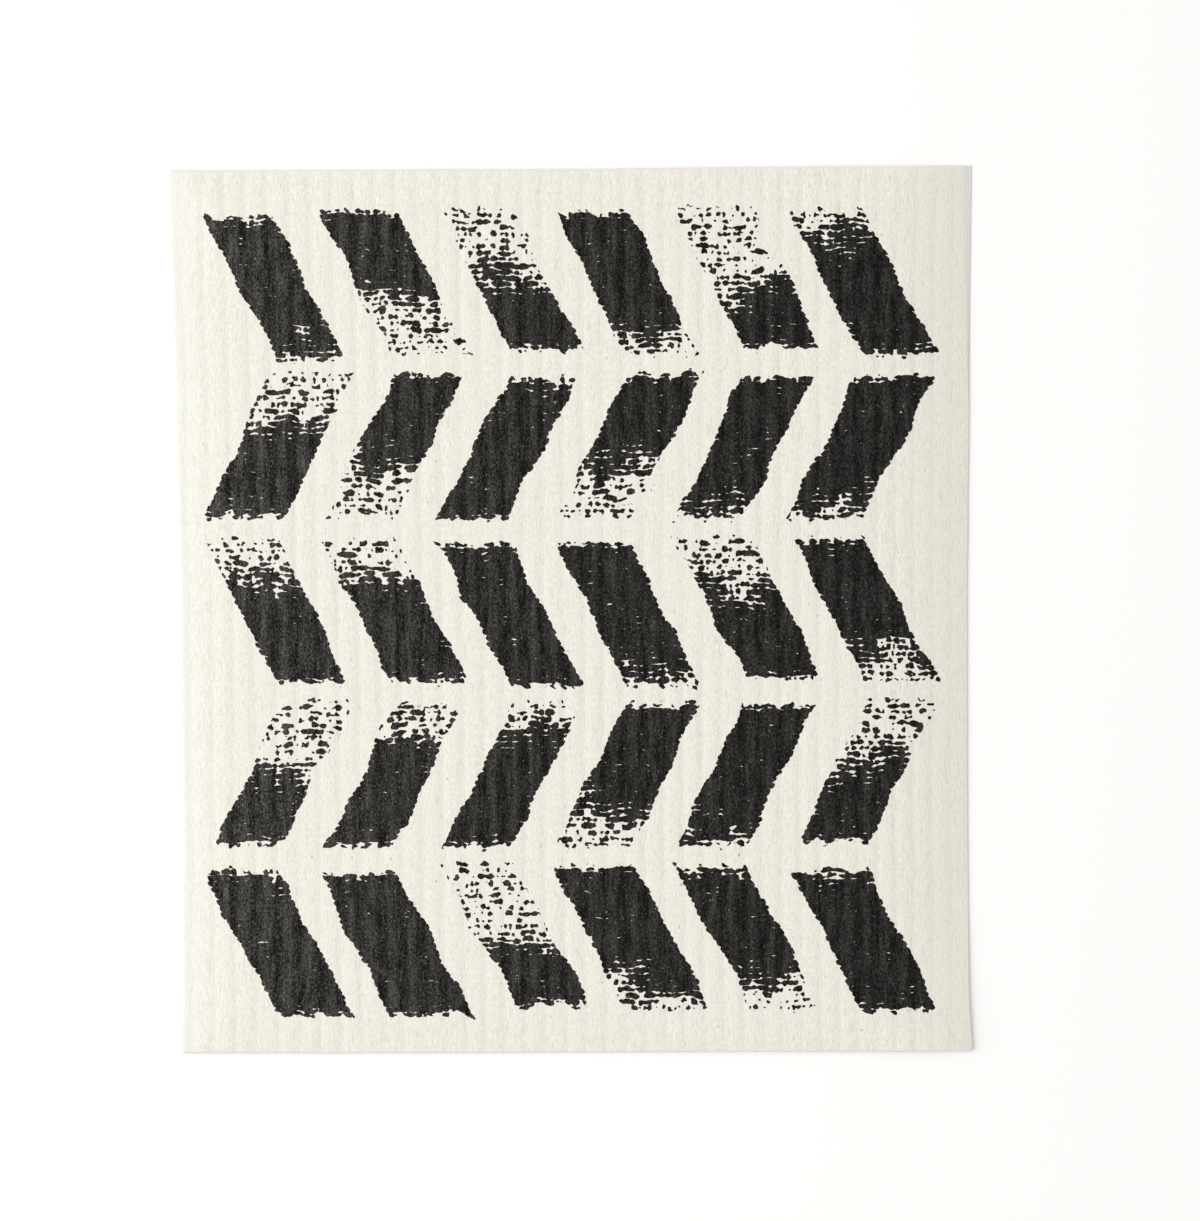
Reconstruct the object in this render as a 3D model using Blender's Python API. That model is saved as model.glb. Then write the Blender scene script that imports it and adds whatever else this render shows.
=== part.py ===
import math

import bmesh
import bpy

# A ribbed sponge cloth, dry and stiff, lying on its underside. Lengths are in metres, +Z is up and
# +Y runs along the ribs towards the top edge. The origin lies on the floor, mid-way along both sides.

# The sheet
sheetWidth = 0.1784
sheetLength = 0.1994
sheetThickness = 0.0017
cornerRadius = 0.0008
edgeRound = 0.0003

# Cutting has pressed the edges thin: how thick each still is, and how far in from it that starts
leftEdgeThickness = 0.0009
leftEdgeReach = 0.015
rightEdgeThickness = 0.00035
rightEdgeReach = 0.030
topEdgeThickness = 0.0011
topEdgeReach = 0.012
bottomEdgeThickness = 0.0011
bottomEdgeReach = 0.012
edgeSteps = 4

# Ribs, pressed into the upper face only
ribPitch = 0.0045
ribHeight = 0.0002
pointsPerRib = 4

# The cut is a little out of square: how far each corner lies out sideways and lengthways
topLeftOut = (0.0012, 0.0001)
topRightOut = (0.0013, 0.0004)
bottomRightOut = (0.0001, 0.0001)
bottomLeftOut = (-0.0007, -0.0005)

# The bottom right corner has risen and spread a little: how much, and how far in from it that starts
cornerRise = 0.00035
riseReach = 0.050
riseSteps = 4
cornerSpread = 0.0008
spreadReach = 0.018

# Printed dabs, which slant one way in one row and the other way in the next
dabWidth = 0.0165
dabHeight = 0.0320
dabPitch = 0.0265
dabSlant = 0.50
rowPitch = 0.0370
sideMargin = 0.0065
endMargin = 0.0070

# The higher, the more the nearer edge alone makes the sheet thin where two edges meet
edgeBlend = 4

# The most of an edge's thickness that its rounding takes
roundedShare = 0.8

# Angles in degrees: faces that meet at more than the first stay sharp, and within the second are flat
sharpAngle = 50
flatAngle = 0.01

# Colours as display values, 0 to 255
clothColour = (238, 234, 223)
inkColour = (49, 47, 45)
clothRoughness = 0.95

corners = (
    (-1, 1, topLeftOut),
    (1, 1, topRightOut),
    (1, -1, bottomRightOut),
    (-1, -1, bottomLeftOut),
)


def clearScene():
    for item in list(bpy.data.objects):
        bpy.data.objects.remove(item, do_unlink=True)


# Distances in from a cut edge where the mesh has a line, for the rounding and the corner arcs
def edgeOffsets():
    return sorted({0.0, edgeRound * (1 - math.cos(math.pi / 4)), edgeRound, cornerRadius})


# Lines across the ribs, at each crest, each valley and half-way between. The last one keeps a third
# of a step clear of the rim's own lines.
def columnLines():
    step = ribPitch / pointsPerRib
    count = math.floor((sheetWidth / 2 - edgeOffsets()[-1]) / step - 1 / 3)
    inner = [step * index for index in range(-count, count + 1)]
    outer = [sheetWidth / 2 - offset for offset in edgeOffsets()]
    return sorted([-line for line in outer] + inner + outer)


def steps(start, end, count):
    return [start + (end - start) * (index + 1) / count for index in range(count)]


# Lines along the ribs, which are close together only in the thin ends and where the corner has risen
def rowLines():
    rim = edgeOffsets()
    top = rim + steps(rim[-1], topEdgeReach, edgeSteps)
    bottom = rim + steps(rim[-1], bottomEdgeReach, edgeSteps) + steps(bottomEdgeReach, riseReach, riseSteps)
    lines = [sheetLength / 2 - offset for offset in top] + [offset - sheetLength / 2 for offset in bottom]
    return sorted(set(lines + [0.0]))


# How much thinner than its middle the sheet is, the nearer of two edges counting for most
def pressedAway(fromSide, fromEnd, x, y):
    atSide, sideReach = (rightEdgeThickness, rightEdgeReach) if x > 0 else (leftEdgeThickness, leftEdgeReach)
    atEnd, endReach = (topEdgeThickness, topEdgeReach) if y > 0 else (bottomEdgeThickness, bottomEdgeReach)
    forSide = (sheetThickness - atSide) * max(0.0, 1 - fromSide / sideReach) ** 2
    forEnd = (sheetThickness - atEnd) * max(0.0, 1 - fromEnd / endReach) ** 2
    return (forSide**edgeBlend + forEnd**edgeBlend) ** (1 / edgeBlend)


def upperHeight(x, y):
    fromSide = sheetWidth / 2 - abs(x)
    fromEnd = sheetLength / 2 - abs(y)
    rib = 0.5 + 0.5 * math.cos(2 * math.pi * x / ribPitch)
    left = sheetThickness - pressedAway(fromSide, fromEnd, x, y)
    height = left - ribHeight * (1 - rib) * left / sheetThickness
    rounding = min(edgeRound, roundedShare * height)
    overhang = min(rounding, max(0.0, rounding - min(fromSide, fromEnd)))
    return height - rounding + math.sqrt(rounding**2 - overhang**2)


# Brings a point near a square corner onto the rounded one, so that rings round it stay rings
def roundedCorner(x, y):
    centreX = sheetWidth / 2 - cornerRadius
    centreY = sheetLength / 2 - cornerRadius
    right = abs(x) - centreX
    up = abs(y) - centreY
    if right <= 0 or up <= 0:
        return x, y
    shrink = max(right, up) / math.hypot(right, up)
    return math.copysign(centreX + right * shrink, x), math.copysign(centreY + up * shrink, y)


# 1 at the bottom right corner, falling to 0 on a slanting line that crosses both edges at a reach
# from it
def cornerShare(x, y, reach):
    return max(0.0, 1 - (sheetWidth / 2 - x + sheetLength / 2 + y) / reach)


# Moves a point of the true rectangle to its place on the cut sheet with its risen corner
def settled(x, y, z):
    across = x / (sheetWidth / 2)
    along = y / (sheetLength / 2)
    sideways = x
    lengthways = y
    for side, end, out in corners:
        near = max(0.0, side * across) * max(0.0, end * along)
        sideways += side * near * out[0]
        lengthways += end * near * out[1]
    sideways += cornerSpread * cornerShare(x, y, spreadReach) ** 2
    rise = cornerShare(x, y, riseReach)
    return sideways, lengthways, z + cornerRise * rise**2 * (3 - 2 * rise)


def sheetMesh():
    columns = columnLines()
    rows = rowLines()
    mesh = bmesh.new()
    bmesh.ops.create_grid(mesh, x_segments=len(columns) - 1, y_segments=len(rows) - 1)
    places = [(x, y, 0) for y in rows for x in columns]
    for vertex, place in zip(mesh.verts, places):
        vertex.co = place

    # The upper face is the same grid again, raised to the ribs and rounded at the rim
    raised = bmesh.ops.extrude_face_region(mesh, geom=mesh.faces[:])["geom"]
    for vertex in raised:
        if isinstance(vertex, bmesh.types.BMVert):
            vertex.co.z = upperHeight(vertex.co.x, vertex.co.y)
    for vertex in mesh.verts:
        x, y, z = vertex.co
        vertex.co = settled(*roundedCorner(x, y), z)
    bmesh.ops.recalc_face_normals(mesh, faces=mesh.faces[:])

    # The frame's origin is under the middle of the sheet's box
    wide = [vertex.co.x for vertex in mesh.verts]
    long = [vertex.co.y for vertex in mesh.verts]
    middle = ((min(wide) + max(wide)) / 2, (min(long) + max(long)) / 2, 0)
    bmesh.ops.translate(mesh, vec=[-distance for distance in middle], verts=mesh.verts[:])

    # The underside needs no lines where it lies flat
    flat = [edge for edge in mesh.edges if all(corner.co.z == 0 for corner in edge.verts)]
    bmesh.ops.dissolve_limit(mesh, angle_limit=math.radians(flatAngle), verts=[], edges=flat)
    data = bpy.data.meshes.new("cleaning_cloth")
    mesh.to_mesh(data)
    mesh.free()
    data.shade_smooth()
    data.set_sharp_from_angle(angle=math.radians(sharpAngle))
    return data


def linearColour(shades):
    values = [shade / 255 for shade in shades]
    return [v / 12.92 if v <= 0.04045 else ((v + 0.055) / 1.055) ** 2.4 for v in values] + [1.0]


# Adds a node that works out one number from values and from other nodes' outputs
def calc(tree, operation, *inputs):
    node = tree.nodes.new("ShaderNodeMath")
    node.operation = operation
    for socket, value in zip(node.inputs, inputs):
        if isinstance(value, bpy.types.NodeSocket):
            tree.links.new(value, socket)
        else:
            socket.default_value = value
    return node.outputs[0]


# 1 where a value lies less than half a band from zero, else 0
def inBand(tree, value, band):
    return calc(tree, "LESS_THAN", calc(tree, "ABSOLUTE", value), band / 2)


# Splits a place into cells of one pitch: the cell's number, and the place from its middle
def cells(tree, place, pitch, count):
    inCells = calc(tree, "ADD", calc(tree, "DIVIDE", place, pitch), count / 2)
    fromMiddle = calc(tree, "SUBTRACT", calc(tree, "FRACT", inCells), 0.5)
    return calc(tree, "FLOOR", inCells), calc(tree, "MULTIPLY", fromMiddle, pitch)


# 1 where a point of the upper face lies in a printed dab, else 0
def dabShare(tree):
    coordinates = tree.nodes.new("ShaderNodeTexCoord")
    place = tree.nodes.new("ShaderNodeSeparateXYZ")
    normal = tree.nodes.new("ShaderNodeSeparateXYZ")
    tree.links.new(coordinates.outputs["Object"], place.inputs[0])
    tree.links.new(coordinates.outputs["Normal"], normal.inputs[0])

    rowCount = math.floor((sheetLength - 2 * endMargin) / rowPitch)
    dabCount = math.floor((sheetWidth - 2 * sideMargin) / dabPitch)
    row, upRow = cells(tree, place.outputs["Y"], rowPitch, rowCount)
    oddRow = calc(tree, "MODULO", row, 2.0)
    lean = calc(tree, "MULTIPLY", calc(tree, "SUBTRACT", oddRow, 0.5), 2 * dabSlant)
    upright = calc(tree, "SUBTRACT", place.outputs["X"], calc(tree, "MULTIPLY", upRow, lean))
    overDab = cells(tree, upright, dabPitch, dabCount)[1]

    limits = (
        inBand(tree, overDab, dabWidth),
        inBand(tree, upRow, dabHeight),
        inBand(tree, place.outputs["Y"], rowCount * rowPitch),
        inBand(tree, upright, dabCount * dabPitch),
        calc(tree, "GREATER_THAN", normal.outputs["Z"], 0.5),
    )
    share = limits[0]
    for limit in limits[1:]:
        share = calc(tree, "MULTIPLY", share, limit)
    return share


# Matt natural cellulose with black dabs of water-based ink on its upper face
def clothMaterial():
    material = bpy.data.materials.new("printed_cellulose")
    material.use_nodes = True
    material.diffuse_color = linearColour(clothColour)
    tree = material.node_tree
    shader = tree.nodes["Principled BSDF"]
    shader.inputs["Base Color"].default_value = linearColour(clothColour)
    shader.inputs["Roughness"].default_value = clothRoughness
    shader.inputs["Metallic"].default_value = 0.0
    mix = tree.nodes.new("ShaderNodeMix")
    mix.data_type = "RGBA"
    mix.inputs["A"].default_value = linearColour(clothColour)
    mix.inputs["B"].default_value = linearColour(inkColour)
    tree.links.new(dabShare(tree), mix.inputs["Factor"])
    tree.links.new(mix.outputs["Result"], shader.inputs["Base Color"])
    return material


clearScene()
cloth = bpy.data.objects.new("cleaning_cloth", sheetMesh())
cloth.data.materials.append(clothMaterial())
bpy.context.scene.collection.objects.link(cloth)
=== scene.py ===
import math

import bpy
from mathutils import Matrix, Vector, noise


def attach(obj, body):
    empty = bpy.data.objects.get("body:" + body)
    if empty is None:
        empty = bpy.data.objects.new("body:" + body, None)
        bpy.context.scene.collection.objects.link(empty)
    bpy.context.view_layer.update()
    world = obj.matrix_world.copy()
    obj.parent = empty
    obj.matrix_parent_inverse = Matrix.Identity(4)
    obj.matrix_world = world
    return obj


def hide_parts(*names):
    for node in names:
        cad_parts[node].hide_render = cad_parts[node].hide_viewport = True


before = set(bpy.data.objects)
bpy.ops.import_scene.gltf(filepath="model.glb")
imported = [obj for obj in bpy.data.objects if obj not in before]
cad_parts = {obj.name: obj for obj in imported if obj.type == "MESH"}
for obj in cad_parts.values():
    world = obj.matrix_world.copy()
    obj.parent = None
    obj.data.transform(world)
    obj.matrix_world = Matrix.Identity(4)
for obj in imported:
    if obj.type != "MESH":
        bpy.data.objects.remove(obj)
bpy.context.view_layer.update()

# A ribbed cellulose sponge cloth, dry and stiff, printed with brushed dabs and seen from straight above.
# Sizes in the dictionaries are in millimetres; mm turns them to metres.
mm = 0.001


# sRGB hex to the linear colour that shader sockets take
def linearFromHex(code):
    shades = [int(code[start:start + 2], 16) / 255 for start in (0, 2, 4)]
    return [s / 12.92 if s <= 0.04045 else ((s + 0.055) / 1.055) ** 2.4 for s in shades] + [1.0]


# Adds one node: settings are its properties, inputs a list by order or a dictionary by name
def addNode(tree, kind, inputs=(), **settings):
    node = tree.nodes.new("ShaderNode" + kind)
    for name, value in settings.items():
        setattr(node, name, value)
    pairs = inputs.items() if isinstance(inputs, dict) else enumerate(inputs)
    for key, value in pairs:
        if isinstance(value, bpy.types.Node):
            value = value.outputs[0]
        if isinstance(value, bpy.types.NodeSocket):
            tree.links.new(value, node.inputs[key])
        else:
            node.inputs[key].default_value = value
    return node


def deselectAll():
    bpy.ops.object.select_all(action="DESELECT")


print("camera")
camera = {
    "height": 900,
    "frameWidth": 270.6,    # what the picture takes in across, at the height of the cloth's face
    "faceHeight": 1.7,
    "overX": 6.5,           # it stands a little to the right of the cloth's middle
    "overY": -0.14,
    "turn": -0.28,          # degrees; the cloth lies a little turned in the picture
    "sensor": 36,
}
deselectAll()
bpy.ops.object.camera_add(
    location=(camera["overX"] * mm, camera["overY"] * mm, camera["height"] * mm),
    rotation=(0, 0, math.radians(camera["turn"])),
)
view = bpy.context.object
view.name = "camera"
view.data.sensor_fit = "HORIZONTAL"
view.data.sensor_width = camera["sensor"]
view.data.lens = camera["sensor"] * (camera["height"] - camera["faceHeight"]) / camera["frameWidth"]
bpy.context.scene.camera = view


# The sheet, before its corners are moved: x runs across the ribs and y along them. A side is -1 at the
# left and 1 at the right, and an end is -1 at the bottom and 1 at the top.
cloth = {
    "width": 178.4,
    "length": 199.4,
    "thickness": 1.7,
    "cornerRadius": {(-1, 1): 0.2, (1, 1): 0.3, (1, -1): 0.7, (-1, -1): 1.2},    # by side and end
    # how fine the mesh is: lines in from a cut edge, then steps across and along the ribs
    "rimLines": (0, 0.05, 0.14, 0.28, 0.48, 0.8, 1.2, 1.7),
    "acrossStep": 0.62,
    "alongStep": 1.45,
    "mergeDistance": 0.001,
    # ribs, closer together towards the right
    "pitchLeft": 4.85,
    "pitchRight": 4.20,
    "ribDepth": 0.09,
    "valleyPower": 3.0,     # the higher, the narrower the grooves
    "meander": 0.30,
    "meanderLength": 26,
    "meanderStretch": 0.4,
    "depthLeast": 0.75,     # how deep a groove is at least, as a share, and how much that varies
    "depthSpread": 0.9,
    "depthLength": 17,
    "mottle": 0.05,
    "mottleLength": 9,
    # cutting has pressed the edges thin: how thick each still is, and how far in that starts
    "leftEdge": (0.9, 15),
    "rightEdge": (0.35, 30),
    "topEdge": (1.1, 12),
    "bottomEdge": (1.1, 12),
    "edgeBlend": 4,         # the higher, the more the nearer of two edges counts alone
    "leftRound": 0.7,
    "rightRound": 0.1,
    "endRound": 0.4,
    "roundShare": 0.8,      # the most of an edge's thickness that its rounding takes
    # at the top right the cut face shows as a narrow slope
    "slopeWidth": 1.8,
    "slopeDrop": 0.25,
    "slopeShare": 0.6,
    "slopeReach": 55,
    "rimWidth": 0.3,        # how much of the other edges shows as cut face
    # the cut wavers a little
    "edgeWave": 0.10,
    "edgeWaveLength": 14,
    "edgeWavePower": 9,     # the higher, the less of a wave or the bow reaches inwards
    "rightBow": 0.3,        # how far in the middle of the right edge lies
    # corners out of square: side, end, how far out sideways and lengthways
    "corners": ((-1, 1, 1.2, 0.1), (1, 1, 1.3, 0.4), (1, -1, -0.35, 0.1), (-1, -1, -0.7, -0.2)),
    # corners pulled out sideways: side, end, how far out, reach
    "spreads": ((1, -1, 0.7, 18), (-1, 1, 1.15, 100), (-1, -1, 0.95, 60)),
    # the bottom right corner has risen a little
    "cornerRise": 0.5,
    "riseReach": 40,
    # which part of the noise each thing reads
    "seeds": {"meander": 3.1, "depth": 8.4, "mottle": 1.7, "sideWave": 5.5, "endWave": 6.5, "rib": 7.3},
}


def meshLines(size, step):
    half = size / 2
    rim = cloth["rimLines"]
    inner = half - rim[-1]
    count = math.ceil(2 * inner / step)
    middle = [-inner + 2 * inner * index / count for index in range(1, count)]
    return [-half + offset for offset in rim] + middle + [half - offset for offset in reversed(rim)]


def smoothNoise(x, y, length, seed):
    return noise.noise(Vector((x / length, y / length, cloth["seeds"][seed])))


# How many ribs lie between the left edge and a place; the ribs wander a little along their length
def ribCount(x, y):
    widening = (cloth["pitchRight"] - cloth["pitchLeft"]) / cloth["width"]
    wander = smoothNoise(x * cloth["meanderStretch"], y, cloth["meanderLength"], "meander")
    across = cloth["width"] / 2 + x + cloth["meander"] * wander
    return math.log(1 + widening * across / cloth["pitchLeft"]) / widening


def edgeDistance(x, y):
    return cloth["width"] / 2 - abs(x), cloth["length"] / 2 - abs(y)


# 1 at one corner, falling to 0 on a slanting line that crosses both edges at a reach from it
def cornerShare(x, y, side, end, reach):
    across = cloth["width"] / 2 - side * x
    along = cloth["length"] / 2 - end * y
    return max(0.0, 1 - (across + along) / reach)


# The width of the sloping cut face at the top right, 0 where there is none
def slopeWidth(x, y):
    share = max(0.0, 1 - (cloth["length"] / 2 - y) / cloth["slopeReach"])
    return cloth["slopeWidth"] * share if x > 0 else 0.0


# How far a rim of one radius falls at a distance in from the cut edge
def rimDrop(distance, radius):
    overhang = min(radius, max(0.0, radius - distance))
    return radius - math.sqrt(radius ** 2 - overhang ** 2)


# How much thinner the sheet is for its edges, the nearer edge counting for most
def pressedAway(x, y):
    fromSide, fromEnd = edgeDistance(x, y)
    sideThickness, sideReach = cloth["rightEdge"] if x > 0 else cloth["leftEdge"]
    endThickness, endReach = cloth["topEdge"] if y > 0 else cloth["bottomEdge"]
    forSide = (cloth["thickness"] - sideThickness) * max(0.0, 1 - fromSide / sideReach) ** 2
    forEnd = (cloth["thickness"] - endThickness) * max(0.0, 1 - fromEnd / endReach) ** 2
    return (forSide ** cloth["edgeBlend"] + forEnd ** cloth["edgeBlend"]) ** (1 / cloth["edgeBlend"])


def upperHeight(x, y):
    fromSide, fromEnd = edgeDistance(x, y)
    ribs = ribCount(x, y)
    valley = (0.5 - 0.5 * math.cos(2 * math.pi * ribs)) ** cloth["valleyPower"]
    ribSeed = math.floor(ribs + 0.5) * cloth["seeds"]["rib"]
    varied = cloth["depthSpread"] * smoothNoise(ribSeed, y, cloth["depthLength"], "depth")
    groove = valley * cloth["ribDepth"] * (cloth["depthLeast"] + varied)
    relief = cloth["mottle"] * smoothNoise(x, y, cloth["mottleLength"], "mottle") - groove
    left = cloth["thickness"] - pressedAway(x, y)
    height = left + relief * left / cloth["thickness"]
    slope = slopeWidth(x, y)
    if slope > fromSide:
        height -= min(cloth["slopeDrop"], cloth["slopeShare"] * height) * (1 - fromSide / slope)
    mostRound = cloth["roundShare"] * height
    sideRound = min(mostRound, cloth["rightRound"] if x > 0 else cloth["leftRound"])
    endRound = min(mostRound, cloth["endRound"])
    return height - max(rimDrop(fromSide, sideRound), rimDrop(fromEnd, endRound))


# Brings a point near a square corner onto the rounded one
def roundedCorner(x, y):
    radius = cloth["cornerRadius"][math.copysign(1, x), math.copysign(1, y)]
    centreX = cloth["width"] / 2 - radius
    centreY = cloth["length"] / 2 - radius
    right = abs(x) - centreX
    up = abs(y) - centreY
    if right <= 0 or up <= 0:
        return x, y
    shrink = max(right, up) / math.hypot(right, up)
    return math.copysign(centreX + right * shrink, x), math.copysign(centreY + up * shrink, y)


# From the true rectangle to the sheet as it was cut and as its corners lie. The risen corner's slope is
# eased at both ends.
def settled(x, y, height):
    across = x / (cloth["width"] / 2)
    along = y / (cloth["length"] / 2)
    power = cloth["edgeWavePower"]
    sideWave = abs(across) ** power * smoothNoise(across * power, y, cloth["edgeWaveLength"], "sideWave")
    endWave = abs(along) ** power * smoothNoise(x, along * power, cloth["edgeWaveLength"], "endWave")
    bow = cloth["rightBow"] * max(0.0, across) ** power * (1 - along ** 2)
    sideways = x + cloth["edgeWave"] * sideWave - bow
    lengthways = y + cloth["edgeWave"] * endWave
    for side, end, outSideways, outLengthways in cloth["corners"]:
        near = max(0.0, side * across) * max(0.0, end * along)
        sideways += side * near * outSideways
        lengthways += end * near * outLengthways
    for side, end, out, reach in cloth["spreads"]:
        sideways += side * out * cornerShare(x, y, side, end, reach) ** 2
    rise = cornerShare(x, y, 1, -1, cloth["riseReach"])
    return sideways, lengthways, height + cloth["cornerRise"] * rise ** 2 * (3 - 2 * rise)


# A grid and its extrusion, both 1 across, whose points are then set by their column, row and level. The
# sheet's own box is centred over the CAD's origin.
def buildCloth():
    columns = meshLines(cloth["width"], cloth["acrossStep"])
    rows = meshLines(cloth["length"], cloth["alongStep"])
    deselectAll()
    bpy.ops.mesh.primitive_grid_add(
        x_subdivisions=len(columns) - 1, y_subdivisions=len(rows) - 1, size=1, location=(0, 0, 0)
    )
    sheet = bpy.context.object
    sheet.name = "sponge_cloth"
    bpy.ops.object.mode_set(mode="EDIT")
    bpy.ops.mesh.select_all(action="SELECT")
    bpy.ops.mesh.extrude_region_move(TRANSFORM_OT_translate={"value": (0, 0, 1)})
    bpy.ops.object.mode_set(mode="OBJECT")

    # what the material reads: the rib that a point is on, the printed face and the cut face
    mesh = sheet.data
    ribs = mesh.attributes.new("ribCount", "FLOAT", "POINT")
    upper = mesh.attributes.new("upperFace", "FLOAT", "POINT")
    cut = mesh.attributes.new("cutRim", "FLOAT", "POINT")
    for vertex in mesh.vertices:
        x = columns[round((vertex.co.x + 0.5) * (len(columns) - 1))]
        y = rows[round((vertex.co.y + 0.5) * (len(rows) - 1))]
        isUpper = vertex.co.z > 0.5
        height = upperHeight(x, y) if isUpper else 0.0
        fromSide, fromEnd = edgeDistance(x, y)
        sideRim = max(cloth["rimWidth"], slopeWidth(x, y))
        ribs.data[vertex.index].value = ribCount(x, y)
        upper.data[vertex.index].value = float(isUpper)
        cut.data[vertex.index].value = float(fromSide < sideRim or fromEnd < cloth["rimWidth"])
        vertex.co = Vector(settled(*roundedCorner(x, y), height)) * mm

    low = [min(vertex.co[axis] for vertex in mesh.vertices) for axis in (0, 1)]
    high = [max(vertex.co[axis] for vertex in mesh.vertices) for axis in (0, 1)]
    for vertex in mesh.vertices:
        vertex.co.x -= (low[0] + high[0]) / 2
        vertex.co.y -= (low[1] + high[1]) / 2

    bpy.ops.object.mode_set(mode="EDIT")
    bpy.ops.mesh.select_all(action="SELECT")
    bpy.ops.mesh.remove_doubles(threshold=cloth["mergeDistance"] * mm)
    bpy.ops.mesh.normals_make_consistent(inside=False)
    bpy.ops.object.mode_set(mode="OBJECT")
    bpy.ops.object.shade_smooth()
    return sheet


print("cloth shape")
sheet = buildCloth()

# The cloth's surface and its ink. A pair of lengths runs across and then along the ribs, and a pair of
# shares is where a noise starts to count and where it counts in full.
finish = {
    "cellulose": "e9e5dd",      # natural, unbleached; the studio light lifts it
    "celluloseDark": "d9d5cd",
    "cutFace": "dcdbd8",        # fresh cut fibres are greyer
    # the colour of the painted shade in the grooves and pits
    "groove": "cdc9be",
    "speck": "8a7458",
    # single fibres are some 0.02 thick, too fine to show, so tufts and streaks of them are drawn
    "fibreLength": (0.26, 0.9),
    "fibreShares": (0.36, 0.66),
    "streakLength": (0.45, 2.6),
    # painted shade in short pits between the streaks and in the bottoms of the grooves: where it counts,
    # and how dark it is
    "pitShadeShares": (0.42, 0.25),  # short dark pits between the streaks
    "pitShadeDepth": 0.6,
    "grooveShadePower": 5.0,
    "grooveShadeDepth": 0.2,
    "speckLength": (0.55, 1.1),
    "speckShares": (0.84, 0.92),
    "speckDepth": 0.6,
    # painted light on the long margins: a paler, more neutral highlight along the left edge and painted
    # shade along the right; colour, its share at the edge and how far in it reaches
    "leftMarginHighlight": ("dde0db", 0.5, 8),
    "rightMarginShade": ("d6d2ca", 0.35, 16),
    # ink, with a painted sheen that pales it towards the left, and paler on the crests of the ribs
    "ink": "030303",
    "inkPaleRight": "44423f",
    "inkPaleLeftSheen": "66635e",
    "inkLength": (0.26, 0.6),
    "bandLength": (0.9, 6.0),
    "bandPart": 0.5,
    "crestPart": 0.065,         # how much paler the crests are
    "toneSpread": 0.32,
    "tonePower": 2.0,
    "leftSheenPower": 2.0,
    # relief, and how the surface takes light
    "fibreHeight": 0.06,
    "streakHeight": 0.6,        # as a share of the fibres' own
    "roughness": 0.95,
    "inkRoughness": 0.85,
    "specular": 0.05,
    "sheen": 0.04,
    "sheenRoughness": 0.6,
}

# The print: rows of dabs that lean one way and then the other, each drier towards one end
dabs = {
    "rows": 5,
    "rowPitch": 37.0,
    "columns": 6,
    "pitch": 26.5,
    "lean": 0.5,
    "halfWidth": 8.4,
    "halfHeight": 16.0,
    "widthSpread": 1.8,     # how much the dabs differ in width, and in place across and along
    "sideShift": 2.0,
    "endShift": 2.2,
    "sway": 3.2,            # how much a dab's sides sway
    "swayLength": 11,
    "bristle": 4.4,         # how far the brush's hairs leave the ends uneven
    "bristleLength": (2.2, 16),
    # where a dab runs dry: least and spread of the start, what sway and hairs add, and the fade
    "dryStart": -6.0,
    "dryStartSpread": 22.0,
    "drySway": 14.0,
    "dryHairs": 9.0,
    "dryFade": (7.5, 17.5),
    "endDry": 0.8,
    "endReach": 2.6,
    # the ink lies in rows, which part and break into dashes and dots where the brush runs dry
    "linePitch": 1.42,
    "lineWander": 1.6,
    "wanderLength": 5,
    "lineSeed": 7.3,        # how far apart the rows read their noise
    "bridgeLength": 1.8,
    "bridgeShares": (0.35, 0.65),
    "parting": (0.45, 1.3),
    "dashLength": 2.6,
    "dotLength": 1.1,
    "dotSeed": 5.0,         # so that the dots read another part of the noise than the dashes
    "dashPart": 0.5,
    "wetGain": 5.0,         # how sharply the rows part, and how well the brush must touch when wet and dry
    "wetNeed": 0.10,
    "dryNeed": 0.50,
    "rowShift": 1.3,        # how far the rows end short of or past a dab's side
    "rowShiftLength": 6.7,
    "rowShiftSeed": 9.0,
    "edgeSoft": 0.4,
    "edgeGrain": 1.1,
    "grainLength": 0.75,
    "pinholeLength": 0.38,
    "pinholeShares": (0.84, 0.95),
    "pinholeInk": 0.2,
}


# The dab that a point belongs to: its place among the rows and in its row, the point's place in it,
# and four chance values of its own
def dabCell(tree, x, y):
    rowAt = addNode(tree, "Math", [y, 1 / dabs["rowPitch"], dabs["rows"] / 2], operation="MULTIPLY_ADD")
    row = addNode(tree, "Math", [rowAt], operation="FLOOR")
    rowPart = addNode(tree, "Math", [rowAt], operation="FRACT")
    upRow = addNode(tree, "Math", [
        rowPart, dabs["rowPitch"], -dabs["rowPitch"] / 2,
    ], operation="MULTIPLY_ADD")
    oddRow = addNode(tree, "Math", [row, 2.0], operation="MODULO")
    lean = addNode(tree, "Math", [oddRow, 2 * dabs["lean"], -dabs["lean"]], operation="MULTIPLY_ADD")
    leaning = addNode(tree, "Math", [upRow, lean], operation="MULTIPLY")
    upright = addNode(tree, "Math", [x, leaning], operation="SUBTRACT")
    dabAt = addNode(tree, "Math", [
        upright, 1 / dabs["pitch"], dabs["columns"] / 2,
    ], operation="MULTIPLY_ADD")
    dab = addNode(tree, "Math", [dabAt], operation="FLOOR")
    dabPart = addNode(tree, "Math", [dabAt], operation="FRACT")
    overDab = addNode(tree, "Math", [dabPart, dabs["pitch"], -dabs["pitch"] / 2], operation="MULTIPLY_ADD")
    cell = addNode(tree, "CombineXYZ", [dab, row, 0.0])
    chance = addNode(tree, "TexWhiteNoise", {"Vector": cell}, noise_dimensions="2D")
    chances = addNode(tree, "SeparateColor", [chance.outputs["Color"]])
    return {
        "rowAt": rowAt, "dabAt": dabAt, "upRow": upRow, "overDab": overDab, "upright": upright,
        "sideChance": chances.outputs[0], "widthChance": chances.outputs[1],
        "wayChance": chances.outputs[2], "endChance": chance.outputs["Value"],
    }


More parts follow.
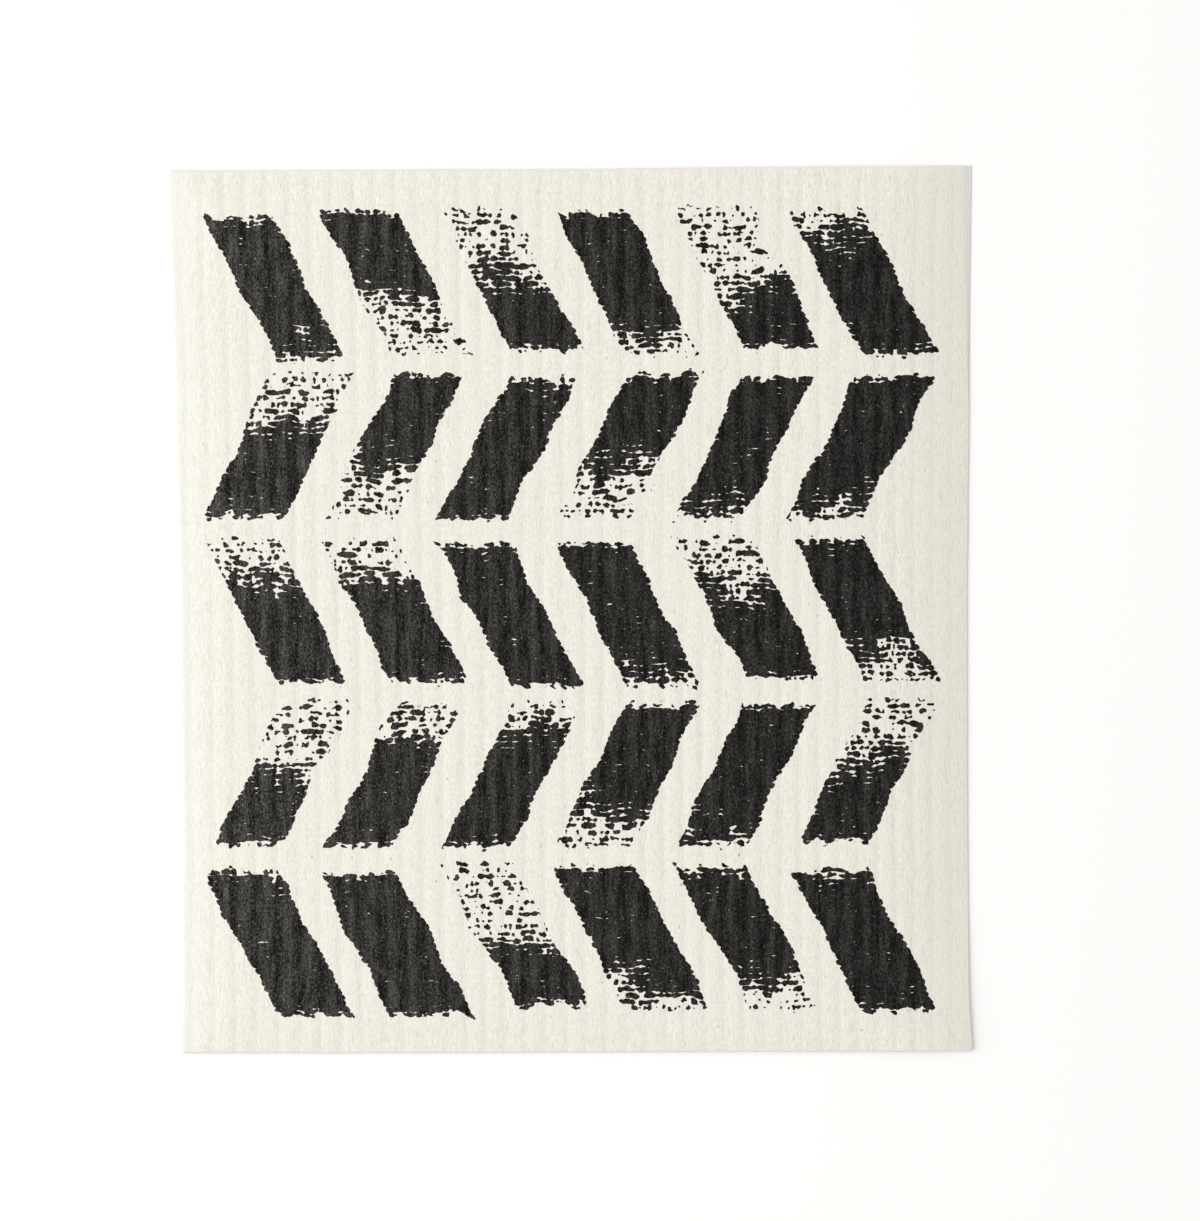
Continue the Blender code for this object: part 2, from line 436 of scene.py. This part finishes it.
# How far inside its dab a point lies, and how dry the brush was there: 0 where it was full, and 1
# where it ran dry
def brushStroke(tree, place, y, cell):
    sway = addNode(tree, "TexNoise", {"Vector": place, "Scale": 1 / dabs["swayLength"], "Detail": 0.0})
    swayed = addNode(tree, "Math", [sway, dabs["sway"], -dabs["sway"] / 2], operation="MULTIPLY_ADD")
    sideShift = addNode(tree, "Math", [
        cell["sideChance"], dabs["sideShift"], -dabs["sideShift"] / 2,
    ], operation="MULTIPLY_ADD")
    shifted = addNode(tree, "Math", [cell["overDab"], sideShift], operation="ADD")
    fromAxis = addNode(tree, "Math", [shifted, swayed], operation="ADD")
    offAxis = addNode(tree, "Math", [fromAxis], operation="ABSOLUTE")
    halfWidth = addNode(tree, "Math", [
        cell["widthChance"], dabs["widthSpread"], dabs["halfWidth"] - dabs["widthSpread"] / 2,
    ], operation="MULTIPLY_ADD")
    fromSide = addNode(tree, "Math", [halfWidth, offAxis], operation="SUBTRACT")

    hairWidth, hairLength = dabs["bristleLength"]
    hairPlace = addNode(tree, "CombineXYZ", [
        addNode(tree, "Math", [cell["upright"], 1 / hairWidth], operation="MULTIPLY"),
        addNode(tree, "Math", [y, 1 / hairLength], operation="MULTIPLY"),
        0.0,
    ])
    hairs = addNode(tree, "TexNoise", {"Vector": hairPlace, "Scale": 1.0, "Detail": 1.0})
    ragged = addNode(tree, "Math", [hairs, dabs["bristle"], -dabs["bristle"] / 2], operation="MULTIPLY_ADD")
    endShift = addNode(tree, "Math", [
        cell["endChance"], dabs["endShift"], -dabs["endShift"] / 2,
    ], operation="MULTIPLY_ADD")
    upDab = addNode(tree, "Math", [cell["upRow"], endShift], operation="ADD")
    offMiddle = addNode(tree, "Math", [upDab], operation="ABSOLUTE")
    fromEnd = addNode(tree, "Math", [dabs["halfHeight"], offMiddle], operation="SUBTRACT")
    raggedEnd = addNode(tree, "Math", [fromEnd, ragged], operation="ADD")
    inside = addNode(tree, "Math", [fromSide, raggedEnd], operation="MINIMUM")

    turned = addNode(tree, "Math", [cell["wayChance"], 0.5], operation="GREATER_THAN")
    way = addNode(tree, "Math", [turned, 2.0, -1.0], operation="MULTIPLY_ADD")
    towardsDry = addNode(tree, "Math", [cell["upRow"], way], operation="MULTIPLY")
    start = addNode(tree, "Math", [
        cell["endChance"], dabs["dryStartSpread"], dabs["dryStart"],
    ], operation="MULTIPLY_ADD")
    past = addNode(tree, "Math", [towardsDry, start], operation="SUBTRACT")
    pastSway = addNode(tree, "Math", [sway, dabs["drySway"], past], operation="MULTIPLY_ADD")
    pastHairs = addNode(tree, "Math", [hairs, dabs["dryHairs"], pastSway], operation="MULTIPLY_ADD")
    fadeStart, fadeEnd = dabs["dryFade"]
    dryAlong = addNode(tree, "MapRange", {"Value": pastHairs, "From Min": fadeStart, "From Max": fadeEnd})
    dryEnd = addNode(tree, "MapRange", {
        "Value": raggedEnd, "From Min": dabs["endReach"], "From Max": 0.0, "To Max": dabs["endDry"],
    })
    dry = addNode(tree, "Math", [dryAlong, dryEnd], operation="MAXIMUM")
    return inside, dry


# 1 where ink lies on the upper face, else 0
def inkShare(tree, place, x, y, upper):
    cell = dabCell(tree, x, y)
    inside, dry = brushStroke(tree, place, y, cell)

    # rows of ink: lineGap is 0 along the middle of a row and about 1 between two rows
    wander = addNode(tree, "TexNoise", {"Vector": place, "Scale": 1 / dabs["wanderLength"], "Detail": 1.0})
    straightLine = addNode(tree, "Math", [y, 1 / dabs["linePitch"]], operation="MULTIPLY")
    lineAt = addNode(tree, "Math", [wander, dabs["lineWander"], straightLine], operation="MULTIPLY_ADD")
    line = addNode(tree, "Math", [lineAt], operation="FLOOR")
    linePart = addNode(tree, "Math", [lineAt], operation="FRACT")
    offLine = addNode(tree, "Math", [linePart, 2.0, -1.0], operation="MULTIPLY_ADD")
    between = addNode(tree, "Math", [offLine, offLine], operation="MULTIPLY")
    bridge = addNode(tree, "TexNoise", {"Vector": place, "Scale": 1 / dabs["bridgeLength"], "Detail": 0.0})
    parting = addNode(tree, "MapRange", {
        "Value": bridge, "From Min": dabs["bridgeShares"][0], "From Max": dabs["bridgeShares"][1],
        "To Min": dabs["parting"][0], "To Max": dabs["parting"][1],
    })
    lineGap = addNode(tree, "Math", [between, parting], operation="MULTIPLY")

    # cover: how well the brush touches along a row, in dashes and in dots
    lineSeed = addNode(tree, "Math", [line, dabs["lineSeed"]], operation="MULTIPLY")
    dashX = addNode(tree, "Math", [x, 1 / dabs["dashLength"]], operation="MULTIPLY")
    dotX = addNode(tree, "Math", [x, 1 / dabs["dotLength"]], operation="MULTIPLY")
    dashPlace = addNode(tree, "CombineXYZ", [dashX, lineSeed, 0.0])
    dotPlace = addNode(tree, "CombineXYZ", [dotX, lineSeed, dabs["dotSeed"]])
    dash = addNode(tree, "TexNoise", {"Vector": dashPlace, "Scale": 1.0, "Detail": 0.0})
    dot = addNode(tree, "TexNoise", {"Vector": dotPlace, "Scale": 1.0, "Detail": 0.0})
    dashCover = addNode(tree, "Math", [dash, dabs["dashPart"]], operation="MULTIPLY")
    cover = addNode(tree, "Math", [dot, 1 - dabs["dashPart"], dashCover], operation="MULTIPLY_ADD")

    # wet: over 1 the rows run together, and under 0 there is no ink
    need = addNode(tree, "MapRange", {"Value": dry, "To Min": dabs["wetNeed"], "To Max": dabs["dryNeed"]})
    spare = addNode(tree, "Math", [cover, need], operation="SUBTRACT")
    wet = addNode(tree, "Math", [spare, dabs["wetGain"]], operation="MULTIPLY")
    rowX = addNode(tree, "Math", [x, 1 / dabs["rowShiftLength"]], operation="MULTIPLY")
    rowPlace = addNode(tree, "CombineXYZ", [rowX, lineSeed, dabs["rowShiftSeed"]])
    rowNoise = addNode(tree, "TexNoise", {"Vector": rowPlace, "Scale": 1.0, "Detail": 0.0})
    rowShift = addNode(tree, "Math", [
        rowNoise, dabs["rowShift"], -dabs["rowShift"] / 2,
    ], operation="MULTIPLY_ADD")
    insideRow = addNode(tree, "Math", [inside, rowShift], operation="ADD")
    edgeWet = addNode(tree, "Math", [insideRow, 1 / dabs["edgeSoft"], 0.5], operation="MULTIPLY_ADD")
    leastWet = addNode(tree, "Math", [wet, edgeWet], operation="MINIMUM")
    grain = addNode(tree, "TexNoise", {"Vector": place, "Scale": 1 / dabs["grainLength"], "Detail": 0.0})
    grainyWet = addNode(tree, "Math", [grain, dabs["edgeGrain"], leastWet], operation="MULTIPLY_ADD")
    gap = addNode(tree, "Math", [lineGap, dabs["edgeGrain"] / 2], operation="ADD")
    printed = addNode(tree, "Math", [grainyWet, gap], operation="GREATER_THAN")

    # no ink past the last rows and dabs, in pinholes or on the other faces
    pinhole = addNode(tree, "TexNoise", {
        "Vector": place, "Scale": 1 / dabs["pinholeLength"], "Detail": 0.0,
    })
    limits = (
        addNode(tree, "Math", [cell["rowAt"], 0.0], operation="GREATER_THAN"),
        addNode(tree, "Math", [cell["rowAt"], float(dabs["rows"])], operation="LESS_THAN"),
        addNode(tree, "Math", [cell["dabAt"], 0.0], operation="GREATER_THAN"),
        addNode(tree, "Math", [cell["dabAt"], float(dabs["columns"])], operation="LESS_THAN"),
        addNode(tree, "MapRange", {
            "Value": pinhole, "From Min": dabs["pinholeShares"][0], "From Max": dabs["pinholeShares"][1],
            "To Min": 1.0, "To Max": dabs["pinholeInk"],
        }),
        upper,
    )
    for limit in limits:
        printed = addNode(tree, "Math", [printed, limit], operation="MULTIPLY")
    return printed


# A noise drawn out along the ribs; length is its size across and along them
def ribwiseNoise(tree, place, length, detail, roughness=0.5):
    across, along = length
    stretched = addNode(tree, "VectorMath", [
        place, (1 / across, 1 / along, 1 / along),
    ], operation="MULTIPLY")
    return addNode(tree, "TexNoise", {
        "Vector": stretched, "Scale": 1.0, "Detail": detail, "Roughness": roughness,
    })


# One colour over another: share is a node or a number from 0 to 1
def overlay(tree, under, share, colour):
    return addNode(tree, "Mix", {
        "Factor": share, "A": under, "B": colour,
    }, data_type="RGBA").outputs["Result"]


# Off-white cellulose: fibres along the ribs, painted shade in the grooves and pits, rare specks, and
# painted light on the margins
def clothColour(tree, place, x, fibre, streak, valley, cut):
    fibreShare = addNode(tree, "MapRange", {
        "Value": fibre, "From Min": finish["fibreShares"][0], "From Max": finish["fibreShares"][1],
    })
    pitShade = addNode(tree, "MapRange", {
        "Value": streak, "From Min": finish["pitShadeShares"][0], "From Max": finish["pitShadeShares"][1],
        "To Max": finish["pitShadeDepth"],
    })
    grooveAndPitShade = addNode(tree, "Math", [valley, finish["grooveShadeDepth"], pitShade], operation="MULTIPLY_ADD")
    speck = addNode(tree, "MapRange", {
        "Value": ribwiseNoise(tree, place, finish["speckLength"], detail=0.0),
        "From Min": finish["speckShares"][0], "From Max": finish["speckShares"][1],
        "To Max": finish["speckDepth"],
    })
    dark, light = linearFromHex(finish["celluloseDark"]), linearFromHex(finish["cellulose"])
    colour = overlay(tree, dark, fibreShare, light)
    # painted shade in the grooves and pits
    colour = overlay(tree, colour, grooveAndPitShade, linearFromHex(finish["groove"]))
    colour = overlay(tree, colour, speck, linearFromHex(finish["speck"]))
    half = cloth["width"] / 2
    # painted highlight along the left edge, painted shade along the right
    for side, margin in ((-1, finish["leftMarginHighlight"]), (1, finish["rightMarginShade"])):
        shade, share, reach = margin
        fade = addNode(tree, "MapRange", {
            "Value": x, "From Min": side * (half - reach), "From Max": side * half, "To Max": share,
        })
        colour = overlay(tree, colour, fade, linearFromHex(shade))
    return overlay(tree, colour, cut, linearFromHex(finish["cutFace"]))


# Black ink with a pale grain, paler on the ribs' crests, and a painted sheen that pales it towards the
# left: wave is 1 on a rib's crest and -1 in a groove
def inkColour(tree, place, x, wave):
    grain = ribwiseNoise(tree, place, finish["inkLength"], detail=1.0)
    band = ribwiseNoise(tree, place, finish["bandLength"], detail=1.0)
    banded = addNode(tree, "Math", [band, finish["bandPart"], grain], operation="MULTIPLY_ADD")
    paleOnCrests = addNode(tree, "Math", [wave, finish["crestPart"], banded], operation="MULTIPLY_ADD")
    middleTone = (1 + finish["bandPart"]) / 2
    paleShare = addNode(tree, "MapRange", {
        "Value": paleOnCrests, "From Min": middleTone - finish["toneSpread"],
        "From Max": middleTone + finish["toneSpread"],
    })
    pale = addNode(tree, "Math", [paleShare, finish["tonePower"]], operation="POWER")
    # painted sheen: the ink's pale grain grows paler towards the left
    leftwards = addNode(tree, "MapRange", {
        "Value": x, "From Min": cloth["width"] / 2, "From Max": -cloth["width"] / 2,
    })
    leftSheen = addNode(tree, "Math", [leftwards, finish["leftSheenPower"]], operation="POWER")
    paleRight, paleLeftSheen = linearFromHex(finish["inkPaleRight"]), linearFromHex(finish["inkPaleLeftSheen"])
    inkPaleWithSheen = overlay(tree, paleRight, leftSheen, paleLeftSheen)
    return overlay(tree, linearFromHex(finish["ink"]), pale, inkPaleWithSheen)


# Cellulose sponge, cast as a thin ribbed sheet, dried stiff and printed with water-based black ink.
# To the eye it is dead matt and soft, off-white with fine fibres along the ribs, and the ink lies in it
# flat, without shine, greyed by the fibres that show through.
# Its colour also holds painted light: shade in the grooves and pits and along the right margin, a highlight
# along the left margin, and a sheen that pales the ink towards the left.
def clothMaterial():
    material = bpy.data.materials.new("printedCelluloseSponge")
    material.use_nodes = True
    tree = material.node_tree
    shader = tree.nodes["Principled BSDF"]
    coordinates = addNode(tree, "TexCoord")
    place = addNode(tree, "VectorMath", {
        0: coordinates.outputs["Object"], "Scale": 1 / mm,
    }, operation="SCALE")    # patterns are in millimetres from here on
    axes = addNode(tree, "SeparateXYZ", [place])
    x, y = axes.outputs["X"], axes.outputs["Y"]
    ribs = addNode(tree, "Attribute", attribute_name="ribCount").outputs["Fac"]
    upper = addNode(tree, "Attribute", attribute_name="upperFace").outputs["Fac"]
    cut = addNode(tree, "Attribute", attribute_name="cutRim").outputs["Fac"]

    # wave is 1 on a rib's crest and -1 in a groove, and valley is 1 at the bottom of the groove, where it
    # lays painted shade into the colour
    turns = addNode(tree, "Math", [ribs, 2 * math.pi], operation="MULTIPLY")
    wave = addNode(tree, "Math", [turns], operation="COSINE")
    fallen = addNode(tree, "Math", [wave, -0.5, 0.5], operation="MULTIPLY_ADD")
    valley = addNode(tree, "Math", [fallen, finish["grooveShadePower"]], operation="POWER")
    fibre = ribwiseNoise(tree, place, finish["fibreLength"], detail=2.0, roughness=0.6)
    streak = ribwiseNoise(tree, place, finish["streakLength"], detail=1.0)

    printed = inkShare(tree, place, x, y, upper)
    bare = clothColour(tree, place, x, fibre, streak, valley, cut)
    colour = overlay(tree, bare, printed, inkColour(tree, place, x, wave))
    tree.links.new(colour, shader.inputs["Base Color"])
    rough = addNode(tree, "MapRange", {
        "Value": printed, "To Min": finish["roughness"], "To Max": finish["inkRoughness"],
    })
    tree.links.new(rough.outputs[0], shader.inputs["Roughness"])
    relief = addNode(tree, "Math", [streak, finish["streakHeight"], fibre], operation="MULTIPLY_ADD")
    surface = addNode(tree, "Bump", {
        "Strength": 1.0, "Distance": finish["fibreHeight"] * mm, "Height": relief,
    })
    tree.links.new(surface.outputs["Normal"], shader.inputs["Normal"])
    shader.inputs["Specular IOR Level"].default_value = finish["specular"]
    shader.inputs["Sheen Weight"].default_value = finish["sheen"]
    shader.inputs["Sheen Roughness"].default_value = finish["sheenRoughness"]
    return material


print("cloth material")
sheet.data.materials.clear()
sheet.data.materials.append(clothMaterial())
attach(sheet, "root")
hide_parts("cleaning_cloth")


print("floor and light")
studio = {
    "floor": "e3e2e2",
    "floorGlow": 0.14,      # the table is lit from beneath as well, which softens shadows on it
    "floorRoughness": 1.0,
    "floorSpecular": 0.0,
    "floorSize": 6000,
    "keyFrom": (-0.85, 0.08, 0.52),     # a broad, soft light, low at the left
    "keyDistance": 1600,
    "keySize": 1800,
    "keyPower": 35,
    "keyColour": "fffffd",
    "fillStrength": 0.66,
    "fillColour": "fffffd",
}
deselectAll()
bpy.ops.mesh.primitive_plane_add(size=studio["floorSize"] * mm, location=(0, 0, 0))
floor = bpy.context.object
floor.name = "floor"

# Opal acrylic sheet, sanded matt and lit from beneath: plain white to the eye, without shine
acrylic = bpy.data.materials.new("sandedOpalAcrylic")
acrylic.use_nodes = True
acrylicShader = acrylic.node_tree.nodes["Principled BSDF"]
acrylicShader.inputs["Base Color"].default_value = linearFromHex(studio["floor"])
acrylicShader.inputs["Emission Color"].default_value = linearFromHex(studio["keyColour"])
acrylicShader.inputs["Emission Strength"].default_value = studio["floorGlow"]
acrylicShader.inputs["Roughness"].default_value = studio["floorRoughness"]
acrylicShader.inputs["Specular IOR Level"].default_value = studio["floorSpecular"]
floor.data.materials.append(acrylic)

keyFrom = Vector(studio["keyFrom"]).normalized()
deselectAll()
bpy.ops.object.light_add(
    type="AREA",
    location=keyFrom * studio["keyDistance"] * mm,
    rotation=keyFrom.to_track_quat("Z", "Y").to_euler(),
)
key = bpy.context.object
key.name = "key"
key.data.shape = "SQUARE"
key.data.size = studio["keySize"] * mm
key.data.energy = studio["keyPower"]
key.data.color = linearFromHex(studio["keyColour"])[:3]

world = bpy.data.worlds.new("studio")
world.use_nodes = True
background = world.node_tree.nodes["Background"]
background.inputs["Color"].default_value = linearFromHex(studio["fillColour"])
background.inputs["Strength"].default_value = studio["fillStrength"]
bpy.context.scene.world = world
bpy.context.scene.view_settings.view_transform = "Standard"

print("finish")
